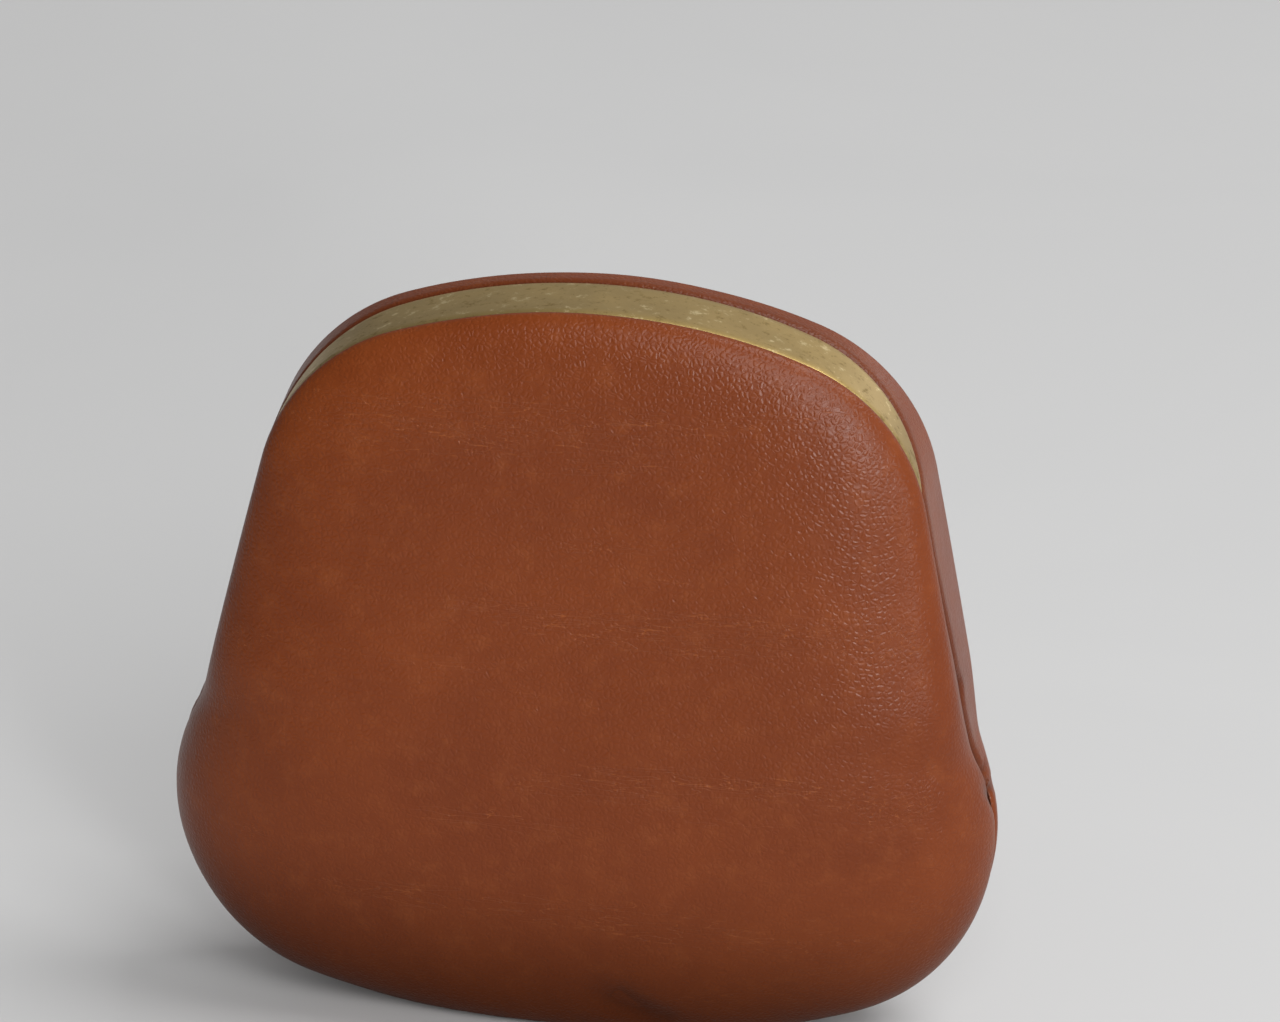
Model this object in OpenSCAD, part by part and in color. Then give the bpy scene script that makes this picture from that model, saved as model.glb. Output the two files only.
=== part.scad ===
// Clasp-frame coin purse: two moulded leather halves on a hinged brass snap frame,
// sewn together below the hinge into a soft pouch.
// Front view lies in XZ, the front faces -Y, and the purse stands on its base at z = 0.

/* [Body] */
// Overall width at the belly
body_w = 98; // [88:1:118]
// Overall height
body_h = 90; // [80:1:106]
// Overall depth at the belly
body_d = 32.6; // [28:0.2:39]
// Depth over the leather at the closed mouth
mouth_d = 21; // [20:0.2:24]
// How far the mouth stands inside the belly at the hinge line, on each side
hinge_tuck = 5; // [2:0.5:7]
// Height of the hinge axis above the base
hinge_z = 46; // [42:0.5:54]
// Lean of the mouth's straight sides from upright, in degrees
side_lean = 12.1; // [9:0.1:15]
// Radius of the mouth's top arc
crown_r = 72; // [62:1:86]
// Radius of the mouth's shoulder arcs
shoulder_r = 23; // [18:0.5:26]
// Radius of the pouch's side bulge
belly_r = 24; // [20:0.5:28]
// Radius of the pouch's bottom arc
bottom_r = 101; // [90:1:130]

/* [Leather] */
// Thickness of the outer leather
leather_t = 1.6; // [1.2:0.1:2]
// Thickness of the lining leather
lining_t = 0.7; // [0.5:0.1:1]
// Thickness of the stiffener boards
board_t = 0.5; // [0.4:0.1:0.6]
// Glue line or clearance between soft layers
layer_gap = 0.3; // [0.2:0.05:0.4]

/* [Frame] */
// Wall thickness of the outer, rear frame
rear_metal_t = 1.2; // [0.8:0.1:1.6]
// Wall thickness of the inner, front frame
front_metal_t = 1.0; // [0.8:0.1:1.4]
// Gap between the two nested frame bands
frame_gap = 0.4; // [0.4:0.05:0.7]
// Width of the frame flanges that the leather is glued to
flange_w = 4.7; // [3.5:0.1:5.5]
// Thickness of the frame flanges
flange_t = 1.0; // [0.8:0.1:1.2]
// Reach of the flanges from the closing plane
flange_y = 7.8; // [7.2:0.1:8.4]
// Clearance between the rear frame's band and the front frame's flange
band_clearance = 1.2; // [0.6:0.1:2]
// Reach of the front frame's band behind the closing plane
front_band_reach = 4; // [3:0.1:4.2]
// Depth of brass left bare at the crown
bare_band = 9.8; // [7:0.1:11]
// Length of the bare crescent along the arch, each side of the crown
bare_reach = 46.5; // [38:0.5:50]
// Depth of the bare brass below the leather's surface
bare_inset = 0.4; // [0.2:0.1:1]
// Height of the snap nubs on the inner band
nub_h = 0.25; // [0.15:0.05:0.3]
// Distance of each snap nub from the middle
nub_x = 18; // [12:0.5:24]

/* [Hinge] */
// Radius of the hinge rivets
rivet_r = 1.0; // [0.8:0.05:1.2]
// Radial running clearance of the front frame on the rivets
rivet_clearance = 0.05; // [0.02:0.01:0.1]
// Radius of the rivet heads
rivet_head_r = 2.2; // [1.6:0.1:2.6]
// Thickness of the rivet heads
rivet_head_t = 0.9; // [0.5:0.1:1]
// Radius of the frame tabs round the rivets
tab_r = 3.4; // [2.8:0.1:3.6]
// Gap between the two tabs, which the washer fills
tab_gap = 0.5; // [0.4:0.05:0.7]
// Side clearance of the washer in that gap
washer_clearance = 0.1; // [0.05:0.01:0.15]

/* [Seam] */
// Width of the binding strip inside the seam
binding_w = 2; // [1.6:0.1:3]
// Thickness of the binding strip
binding_t = 1.6; // [1.2:0.1:2]
// Distance between stitches
stitch_pitch = 5; // [4:0.1:7]
// Radius of the thread
thread_r = 0.3; // [0.2:0.05:0.4]

/* [Hidden] */
$fn = 96;

leather_colour = "saddlebrown";
lining_colour = "peru";
board_colour = "tan";
brass_colour = "darkkhaki";

// The lowest arc of the outline would end this far under the base, where it is flattened.
base_sink = 2.9;
// Width of the mouth over the leather at the hinge line.
hinge_w = body_w - 2 * hinge_tuck;
// Reach of the rear frame's band in front of the closing plane, up to the front flange.
rear_band_reach = flange_y - flange_t - band_clearance;
// The stiff leather ends this far above and below the hinge axis, with a soft fold between.
fold_up = 5;
fold_down = 4.5;
cover_z = hinge_z + fold_up;
pouch_z = hinge_z - fold_down;
// Height at which the two halves' edges have run together into the closed seam.
seam_z = 30;
// Gap between the halves' leather edges along the groove.
edge_gap = 0.3;
// The groove lies this far in front of the closing plane at the hinge, and further up the mouth.
hinge_groove = 3.4;
groove_rise = 20;
// Where each leather half turns from its face into its side strip, from the closing plane.
rim_y = flange_y + layer_gap;
seam_rim_y = 0.6;
// Fullness of the faces: higher is flatter with tighter edges.
mouth_fullness = 7;
pouch_fullness = 5;
// Height of the fullest part of the pouch.
belly_z = 21;

// ---- Outline in XZ, as arcs that run into each other ----
crown_c = [0, body_h - crown_r];
lean_n = [cos(side_lean), sin(side_lean)];
lean_down = [sin(side_lean), -cos(side_lean)];
side_offset = lean_n * [hinge_w / 2, hinge_z];
shoulder_a = side_lean + acos((side_offset - shoulder_r - lean_n * crown_c) / (crown_r - shoulder_r));
shoulder_c = crown_c + (crown_r - shoulder_r) * [cos(shoulder_a), sin(shoulder_a)];
side_top = shoulder_c + shoulder_r * lean_n;
belly_cx = body_w / 2 - belly_r;
bottom_cz = bottom_r - base_sink;
belly_c = [belly_cx, bottom_cz - sqrt(pow(bottom_r - belly_r, 2) - pow(belly_cx, 2))];
bottom_a = atan2(belly_c[1] - bottom_cz, belly_cx);
// The hollow neck arc lies outside the straight side and touches the belly arc.
neck_r = 15;
neck_along = side_offset - lean_n * belly_c + neck_r;
neck_up = sqrt(pow(belly_r + neck_r, 2) - pow(neck_along, 2));
neck_c = belly_c + neck_along * lean_n - neck_up * lean_down;
side_end = neck_c - neck_r * lean_n;
belly_a = atan2(neck_c[1] - belly_c[1], neck_c[0] - belly_c[0]);

// Points of an arc after its start, as [x, z, outward normal x, outward normal z].
steps = 12;
function arc_points(c, r, from, to) =
    [for (i = [1:steps]) let (a = from + (to - from) * i / steps)
        [c[0] + r * cos(a), c[1] + r * sin(a), cos(a), sin(a)]];
function hollow_points(c, r, from, to) =
    [for (p = arc_points(c, r, from, to)) [p[0], p[1], -p[2], -p[3]]];
// Half the outline, from the crown down the right side to the middle of the base.
half_outline = concat(
    [[0, body_h, 0, 1]],
    arc_points(crown_c, crown_r, 90, shoulder_a),
    arc_points(shoulder_c, shoulder_r, shoulder_a, side_lean),
    [for (i = [1:steps]) let (p = side_top + (side_end - side_top) * i / steps)
        [p[0], p[1], lean_n[0], lean_n[1]]],
    hollow_points(neck_c, neck_r, side_lean + 180, belly_a + 180),
    arc_points(belly_c, belly_r, belly_a, bottom_a),
    arc_points([0, bottom_cz], bottom_r, bottom_a, -90));
last = len(half_outline) - 1;
function xz(p) = [p[0], p[1]];
function lengths(i = 0, s = 0) = i >= last ? [s]
    : concat([s], lengths(i + 1, s + norm(xz(half_outline[i + 1]) - xz(half_outline[i]))));
arc_length = lengths();
total_s = arc_length[last];
function column(k) = [for (i = [0:last]) [arc_length[i], half_outline[i][k]]];
x_of = column(0);
z_of = column(1);
nx_of = column(2);
nz_of = column(3);
// Outline point at arc length s from the crown, moved inward by inset. Negative s is the left side.
function outline(s, inset = 0) = let (a = abs(s)) [
    sign(s) * (lookup(a, x_of) - inset * lookup(a, nx_of)),
    lookup(a, z_of) - inset * lookup(a, nz_of)];
// Arc length and half width at which the inset outline passes height z.
function by_height(inset, k) = [for (i = [last:-1:0])
    let (p = outline(max(arc_length[i], 1e-6), inset)) [p[1], k == 0 ? arc_length[i] : p[0]]];
function s_at(z, inset = 0) = lookup(z, by_height(inset, 0));
function x_at(z, inset = 0) = lookup(z, by_height(inset, 1));

// ---- Depth of the soft surfaces from the closing plane ----
function smooth(t) = let (c = min(1, max(0, t))) c * c * (3 - 2 * c);
function mix(a, b, t) = a + (b - a) * t;
function seam_mix(z) = smooth((z - seam_z) / (hinge_z - seam_z));
function rim_depth(z) = mix(seam_rim_y, rim_y, seam_mix(z));
function groove_y(z) = -hinge_groove * seam_mix(z)
    - (rear_band_reach - hinge_groove) * smooth((z - hinge_z) / groove_rise);
function fullness(z) =
    mix(pouch_fullness, mouth_fullness, smooth((z - belly_z) / (hinge_z - belly_z)));
function face_depth(z) = mix(mouth_d / 2, body_d / 2, smooth((body_h - z) / (body_h - belly_z)));
// Width of brass left bare at arc length s from the crown.
function bare(s) = abs(s) >= bare_reach ? 0
    : bare_band * pow(1 - pow(abs(s) / bare_reach, 4), 0.8);
// Distance of the inset outline from the middle of the hinge axis, by angle from upright.
function polar(inset) = [for (i = [0:last])
    let (p = outline(arc_length[i], inset) - [0, hinge_z]) [atan2(p[0], p[1]), norm(p)]];
function share(x, z, table) = let (p = [abs(x), z - hinge_z])
    min(1, norm(p) / lookup(atan2(p[0], p[1]), table));
function depth_at(x, z, inset, table) = let (
    face = face_depth(z) - inset, rim = min(rim_depth(z), face))
    rim + (face - rim) * sqrt(max(0, 1 - pow(share(x, z, table), fullness(z))));
function edge_y(side, s, z) = groove_y(z) + (side < 0 ? -edge_gap / 2 : edge_gap / 2 + bare(s));

// ---- Soft walls as closed grids ----
// Columns to each side of the middle along the crown, shoulder and side, or base, belly and side.
up_cols = [6, 8, 3];
down_cols = [4, 10, 3];
half_cols = 17;
cols = 2 * half_cols;
wall_rows = 7;
sheet_rows = 4;
fold_rows = 4;
// The side strip starts this far from the cut across the leather.
corner_step = 0.8;
function spread(u) = u * (1.5 - 0.5 * u * u);
// Arc length at the end of the outline's arc or line number k.
function mark(k) = arc_length[k * steps];
function three_runs(k, n, a, b, c, d) = k <= n[0] ? mix(a, b, k / n[0])
    : k <= n[0] + n[1] ? mix(b, c, (k - n[0]) / n[1])
    : mix(c, d, (k - n[0] - n[1]) / n[2]);
// Arc length of column k from the middle, on the way to the end of the wall.
function station(k, up, s_end) = up > 0 ? three_runs(k, up_cols, 0, mark(1), mark(2), s_end)
    : three_runs(k, down_cols, total_s, mark(5), mark(4), s_end);

// Closed solid between two grids of points, listed row by row with n columns each.
module grid_solid(outer, inner, n) {
    m = len(outer) / n;
    k = len(outer);
    function quad(a, b, c, d) = [[a, b, c], [a, c, d]];
    faces = concat(
        [for (j = [0:m - 2], i = [0:n - 2], t = quad(j * n + i, j * n + i + 1,
            (j + 1) * n + i + 1, (j + 1) * n + i)) t],
        [for (j = [0:m - 2], i = [0:n - 2], t = quad(k + j * n + i, k + (j + 1) * n + i,
            k + (j + 1) * n + i + 1, k + j * n + i + 1)) t],
        [for (i = [0:n - 2], t = quad(i + 1, i, k + i, k + i + 1)) t],
        [for (i = [0:n - 2], t = quad((m - 1) * n + i, (m - 1) * n + i + 1,
            k + (m - 1) * n + i + 1, k + (m - 1) * n + i)) t],
        [for (j = [0:m - 2], t = quad(j * n, (j + 1) * n, k + (j + 1) * n, k + j * n)) t],
        [for (j = [0:m - 2], t = quad((j + 1) * n + n - 1, j * n + n - 1,
            k + j * n + n - 1, k + (j + 1) * n + n - 1)) t]);
    polyhedron(concat(outer, inner), faces, convexity = 8);
}

// One column from a level cut to the inset outline above or below it, as [near point, far point, arc length].
function wall_column(i, up, z_cut, inset) = let (
    side = i < half_cols ? -1 : 1,
    s_mid = up > 0 ? 0 : total_s,
    s_end = s_at(z_cut + up * corner_step, inset),
    s = station(abs(i - half_cols), up, s_end),
    w = spread((s - s_mid) / (s_end - s_mid)),
    far = i == half_cols ? [0, outline(s_mid, inset)[1]] : outline(side * s, inset))
    [[side * w * x_at(z_cut, inset), z_cut], far, s];
function wall_columns(up, z_cut, inset) = [for (i = [0:cols]) wall_column(i, up, z_cut, inset)];
function row_xz(column, t) = mix(column[0], column[1], 1 - pow(1 - t, 1.8));
// Surface of a wall with its side strip: side is -1 at the front and 1 at the rear.
function wall_grid(side, up, z_cut, inset) = let (
    table = polar(inset), columns = wall_columns(up, z_cut, inset)) concat(
    [for (j = [0:wall_rows], c = columns) let (p = row_xz(c, j / wall_rows))
        [p[0], side * depth_at(p[0], p[1], inset, table), max(p[1], inset)]],
    [for (c = columns) [c[1][0], edge_y(side, c[2], c[1][1]), max(c[1][1], inset)]]);
module wall(side, up, z_cut, inset, thickness) {
    a = wall_grid(side, up, z_cut, inset);
    b = wall_grid(side, up, z_cut, inset + thickness);
    if (side * up < 0)
        grid_solid(a, b, cols + 1);
    else
        grid_solid(b, a, cols + 1);
}
// Sheet behind the face of an upper half, from margin inside the outline, without a side strip.
function sheet_grid(side, z_cut, margin, inset) = let (
    table = polar(inset), columns = wall_columns(1, z_cut, margin))
    [for (j = [0:sheet_rows], c = columns) let (p = row_xz(c, j / sheet_rows))
        [p[0], side * depth_at(p[0], p[1], inset, table), p[1]]];
module sheet(side, z_cut, margin, inset, thickness) {
    a = sheet_grid(side, z_cut, margin, inset);
    b = sheet_grid(side, z_cut, margin, inset + thickness);
    if (side < 0)
        grid_solid(a, b, cols + 1);
    else
        grid_solid(b, a, cols + 1);
}
// Band of soft leather between two heights, with its side strips.
function fold_grid(side, z0, z1, inset) = let (table = polar(inset))
    [for (j = [0:fold_rows], i = [-1:cols + 1]) let (z = mix(z0, z1, j / fold_rows),
        w = spread(max(-1, min(1, -1 + 2 * i / cols))), x = w * x_at(z, inset))
        [x, i < 0 || i > cols ? edge_y(side, total_s, z) : side * depth_at(x, z, inset, table), z]];
module fold(side, z0, z1, inset, thickness) {
    a = fold_grid(side, z0, z1, inset);
    b = fold_grid(side, z0, z1, inset + thickness);
    if (side < 0)
        grid_solid(a, b, cols + 3);
    else
        grid_solid(b, a, cols + 3);
}

// ---- Frame ----
band_inset = leather_t + layer_gap;
inner_inset = band_inset + rear_metal_t + frame_gap;
// The arms end here and turn into the upright tabs that carry the rivets.
arm_z = hinge_z + 4;
tab_overlap = 0.6;
// The part of each band near the tabs reaches less far past the closing plane.
low_reach = 1.5;
low_rise = 20;
rear_tab_x = (side_offset - band_inset - arm_z * lean_n[1]) / lean_n[0];
front_tab_x = rear_tab_x - rear_metal_t - tab_gap;
lining_margin = band_inset + flange_w + layer_gap;
board_inset = leather_t + layer_gap;
lining_inset = board_inset + board_t + layer_gap;
seam_inset = leather_t + 1.5 * layer_gap;
pouch_lining_inset = seam_inset + binding_w + layer_gap;
inner_head_t = 0.6;
washer_rim = 0.5;
nub_r = 1;
nub_l = 2;
nub_a = acos(nub_x / (crown_r - inner_inset));

// Solid that stands on an XZ shape between two depths.
module slab(y0, y1) {
    translate([0, y1, 0]) rotate([90, 0, 0]) linear_extrude(y1 - y0) children();
}
// Solid that stands on a YZ shape between two widths.
module plate(x0, x1) {
    translate([x0, 0, 0]) rotate([90, 0, 90]) linear_extrude(x1 - x0) children();
}
module both_sides() {
    children();
    mirror([1, 0, 0]) children();
}
// The mouth's outline as a filled shape, moved inward and ended at a level line.
// The shoulder arcs stand this far proud, so that the crown and the sides cross them cleanly.
shoulder_proud = 0.002;
module arch_shape(inset, floor_z) {
    low = [(side_offset - inset - floor_z * lean_n[1]) / lean_n[0], floor_z];
    top = side_top - inset * lean_n;
    wedge = 2 * crown_r * [cos(shoulder_a), sin(shoulder_a)];
    intersection() {
        union() {
            intersection() {
                translate(crown_c) circle(crown_r - inset);
                translate(crown_c) polygon([[0, 0], wedge, [-wedge[0], wedge[1]]]);
            }
            for (m = [-1, 1])
                translate([m * shoulder_c[0], shoulder_c[1]])
                    circle(shoulder_r - inset + shoulder_proud);
            polygon([shoulder_c, top, low, [-low[0], low[1]], [-top[0], top[1]],
                [-shoulder_c[0], shoulder_c[1]]]);
        }
        translate([-body_w, floor_z]) square([2 * body_w, body_h]);
    }
}
// The bare crescent as seen from above, just inside the edge of the rear cover.
crescent_gap = 0.1;
module crescent() {
    columns = wall_columns(1, cover_z, leather_t);
    side_x = x_at(cover_z);
    linear_extrude(2 * body_h) polygon(concat(
        [[side_x, -2 * rear_band_reach], [-side_x, -2 * rear_band_reach]],
        [for (c = columns) [c[1][0], -rear_band_reach + bare(c[2]) - crescent_gap]]));
}
module arch_ring(inset, width) {
    difference() {
        arch_shape(inset, arm_z);
        arch_shape(inset + width, arm_z - 1);
    }
}
// Upright tab round the rivet, with a neck up to the arm.
module tab_shape(neck_front, neck_rear) {
    translate([0, hinge_z]) circle(tab_r);
    translate([-neck_front, hinge_z])
        square([neck_front + neck_rear, arm_z + tab_overlap - hinge_z]);
}
module rivet_hole(clearance) {
    plate(0, body_w) translate([0, hinge_z]) circle(rivet_r + clearance);
}
module nub(grow) {
    for (m = [-1, 1])
        slab(-nub_l / 2 - grow, nub_l / 2 + grow)
            translate([m * nub_x, crown_c[1] + (crown_r - inner_inset + nub_h - nub_r) * sin(nub_a)])
                circle(nub_r + grow);
}

module front_frame() {
    color(brass_colour) difference() {
        union() {
            difference() {
                slab(-flange_y, front_band_reach) arch_ring(inner_inset, front_metal_t);
                plate(-body_w, body_w) polygon([[low_reach, arm_z - 1], [low_reach, arm_z],
                    [front_band_reach, arm_z + low_rise], [2 * front_band_reach, arm_z + low_rise],
                    [2 * front_band_reach, arm_z - 1]]);
            }
            slab(-flange_y, -flange_y + flange_t) arch_ring(band_inset, flange_w);
            both_sides() plate(front_tab_x - front_metal_t, front_tab_x)
                tab_shape(tab_r, low_reach / 2);
            nub(0);
        }
        both_sides() rivet_hole(rivet_clearance);
    }
}

module rear_frame() {
    color(brass_colour) difference() {
        union() {
            slab(-rear_band_reach, flange_y) arch_ring(band_inset, rear_metal_t);
            intersection() {
                slab(-rear_band_reach, flange_y)
                    arch_ring(bare_inset, band_inset - bare_inset + rear_metal_t / 2);
                crescent();
            }
            slab(flange_y - flange_t, flange_y) arch_ring(band_inset, flange_w);
            both_sides() plate(rear_tab_x - rear_metal_t, rear_tab_x)
                tab_shape(low_reach / 2, tab_r);
        }
        nub(frame_gap / 2);
        both_sides() rivet_hole(0);
    }
}

module hinge_rivet() {
    inner_x = front_tab_x - front_metal_t - washer_clearance;
    dome_r = (pow(rivet_head_r, 2) + pow(rivet_head_t, 2)) / (2 * rivet_head_t);
    color("dimgray") {
        plate(inner_x, rear_tab_x) translate([0, hinge_z]) circle(rivet_r);
        translate([rear_tab_x, 0, hinge_z]) rotate([0, 90, 0]) rotate_extrude() intersection() {
            translate([0, rivet_head_t - dome_r]) circle(dome_r);
            square([rivet_head_r, rivet_head_t]);
        }
        plate(inner_x - inner_head_t, inner_x) translate([0, hinge_z]) circle(rivet_head_r);
    }
}
module right_hinge_rivet() { hinge_rivet(); }
module left_hinge_rivet() { mirror([1, 0, 0]) hinge_rivet(); }

module hinge_washer() {
    color("dimgray") plate(front_tab_x + washer_clearance, front_tab_x + tab_gap - washer_clearance)
        translate([0, hinge_z]) difference() {
            circle(rivet_head_r + washer_rim);
            circle(rivet_r + rivet_clearance);
        }
}
module right_hinge_washer() { hinge_washer(); }
module left_hinge_washer() { mirror([1, 0, 0]) hinge_washer(); }

// ---- Leather, boards and lining ----
module front_cover() { color(leather_colour) wall(-1, 1, cover_z, 0, leather_t); }
module rear_cover() { color(leather_colour) wall(1, 1, cover_z, 0, leather_t); }
module front_stiffener() { color(board_colour) sheet(-1, cover_z, lining_margin, board_inset, board_t); }
module rear_stiffener() { color(board_colour) sheet(1, cover_z, lining_margin, board_inset, board_t); }
module front_lining() { color(lining_colour) sheet(-1, cover_z, lining_margin, lining_inset, lining_t); }
module rear_lining() { color(lining_colour) sheet(1, cover_z, lining_margin, lining_inset, lining_t); }
module front_fold() {
    color(leather_colour) fold(-1, pouch_z + layer_gap, cover_z - layer_gap, 0, leather_t);
}
module rear_fold() {
    color(leather_colour) fold(1, pouch_z + layer_gap, cover_z - layer_gap, 0, leather_t);
}
module pouch_front() { color(leather_colour) wall(-1, -1, pouch_z, 0, leather_t); }
module pouch_rear() { color(leather_colour) wall(1, -1, pouch_z, 0, leather_t); }
module pouch_lining_front() {
    color(lining_colour) wall(-1, -1, pouch_z, pouch_lining_inset, lining_t);
}
module pouch_lining_rear() {
    color(lining_colour) wall(1, -1, pouch_z, pouch_lining_inset, lining_t);
}

// ---- Seam ----
// Point along the seam inside the leather, from the left end at 0 to the right end at 1.
seam_top_z = seam_z + 4;
function seam_point(t, inset) = let (
    w = 1 - 2 * t,
    s = mix(total_s, s_at(seam_top_z, inset), abs(w)),
    p = outline(w == 0 ? total_s : -sign(w) * s, inset)) [p[0], max(p[1], inset)];
seam_cols = 48;
module seam_binding() {
    color(lining_colour) slab(-binding_t / 2, binding_t / 2) polygon(concat(
        [for (i = [0:seam_cols]) seam_point(i / seam_cols, seam_inset)],
        [for (i = [seam_cols:-1:0]) seam_point(i / seam_cols, seam_inset + binding_w)]));
}
seam_length = 2 * (total_s - s_at(seam_top_z, seam_inset));
stitches = floor(seam_length / stitch_pitch);
module seam_stitches() {
    color("wheat") for (k = [1:stitches - 1], y = [-1, 1]) {
        a = seam_point((k - 0.3) / stitches, seam_inset + binding_w / 2);
        b = seam_point((k + 0.3) / stitches, seam_inset + binding_w / 2);
        translate([a[0], y * (binding_t / 2 + thread_r), a[1]])
            rotate([0, atan2(b[0] - a[0], b[1] - a[1]), 0]) cylinder(r = thread_r, h = norm(b - a));
    }
}

front_frame();
rear_frame();
left_hinge_rivet();
right_hinge_rivet();
left_hinge_washer();
right_hinge_washer();
front_cover();
rear_cover();
front_lining();
rear_lining();
front_stiffener();
rear_stiffener();
front_fold();
rear_fold();
pouch_front();
pouch_rear();
pouch_lining_front();
pouch_lining_rear();
seam_binding();
seam_stitches();
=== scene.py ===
"""Leather coin purse with a brass snap frame, built round its packed working model.

Sizes are in millimetres in the classes and turn into metres where meshes are made.
The purse stands on its base at z = 0 and its front faces -Y.
"""

import bisect
import logging
import math
from collections.abc import Callable, Sequence
from dataclasses import dataclass, field
from enum import Enum

import bmesh
import bpy
from mathutils import Matrix, Vector, noise


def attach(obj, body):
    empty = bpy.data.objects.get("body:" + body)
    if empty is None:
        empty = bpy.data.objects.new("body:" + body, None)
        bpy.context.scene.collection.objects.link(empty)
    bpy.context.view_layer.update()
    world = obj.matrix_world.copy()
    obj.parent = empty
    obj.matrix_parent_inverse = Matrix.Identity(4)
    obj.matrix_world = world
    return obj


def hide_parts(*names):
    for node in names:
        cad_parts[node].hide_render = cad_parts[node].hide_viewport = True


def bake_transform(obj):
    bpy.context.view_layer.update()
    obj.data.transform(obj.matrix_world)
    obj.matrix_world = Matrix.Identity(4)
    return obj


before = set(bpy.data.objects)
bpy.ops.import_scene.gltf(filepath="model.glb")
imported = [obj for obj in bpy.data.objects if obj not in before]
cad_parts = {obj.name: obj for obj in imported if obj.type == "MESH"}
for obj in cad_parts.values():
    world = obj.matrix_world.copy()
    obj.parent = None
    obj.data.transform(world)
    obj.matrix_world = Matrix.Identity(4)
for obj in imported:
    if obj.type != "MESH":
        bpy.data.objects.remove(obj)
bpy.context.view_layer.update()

MM = 0.001
LOG = logging.getLogger("coin_purse")
Point = tuple[float, float, float]
Colour = tuple[float, float, float, float]


class Side(Enum):
    """The two halves of the purse, as the sign of their depth."""

    FRONT = -1
    REAR = 1


class Turn(Enum):
    """How an arc of the outline bends."""

    BULGE = 1
    HOLLOW = -1


# ---------------------------------------------------------------- form


def smooth(t: float) -> float:
    """Returns t clamped to 0..1 and eased at both ends."""
    c = min(1.0, max(0.0, t))
    return c * c * (3 - 2 * c)


def mix(a: float, b: float, t: float) -> float:
    """Returns the value t of the way from a to b."""
    return a + (b - a) * t


@dataclass(frozen=True)
class Station:
    """A point of the outline with its outward normal."""

    x: float
    z: float
    nx: float
    nz: float

    def inward(self, inset: float) -> tuple[float, float]:
        """Returns the place inset inside the outline."""
        return self.x - inset * self.nx, self.z - inset * self.nz


@dataclass(frozen=True)
class Pillow:
    """How a face rounds over to its rim."""

    rim_y: float
    mouth_fullness: float
    pouch_fullness: float


FIRM = Pillow(8.1, 7.0, 5.0)
SOFT_FRONT = Pillow(6.05, 5.0, 3.7)
SOFT_REAR = Pillow(7.5, 7.0, 4.2)


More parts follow.
